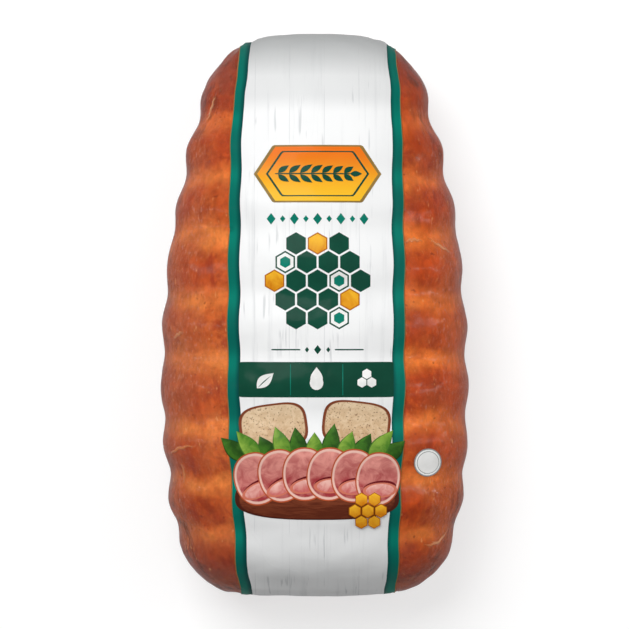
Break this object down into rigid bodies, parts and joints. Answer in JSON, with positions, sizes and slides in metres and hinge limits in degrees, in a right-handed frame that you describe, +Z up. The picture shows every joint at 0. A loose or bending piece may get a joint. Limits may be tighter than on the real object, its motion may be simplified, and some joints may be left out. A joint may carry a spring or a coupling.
{
  "type": "shrink-wrapped whole ham",
  "caption": "Whole ribbed boneless ham vacuum packed in clear film, with a printed band along its top and sealed film tails at both ends.",
  "frame": {"origin": "under the middle of the pack, on the surface that it lies on", "axes": "+Y along the ham towards its narrow end, +X across it, +Z up through the printed band"},
  "size_m": [0.1878, 0.342, 0.1275],
  "materials": {
    "ham_in_film": "smoked brown and orange ham skin seen through tight glossy clear film",
    "printed_film": null,
    "clear_film": "clear crinkled shrink film, folded and sealed"
  },
  "bodies": {
    "root": {"wrapped_ham": "ham_in_film", "printed_band": "printed_film", "head_tail": "clear_film", "foot_tail": "clear_film"}
  },
  "joints": []
}
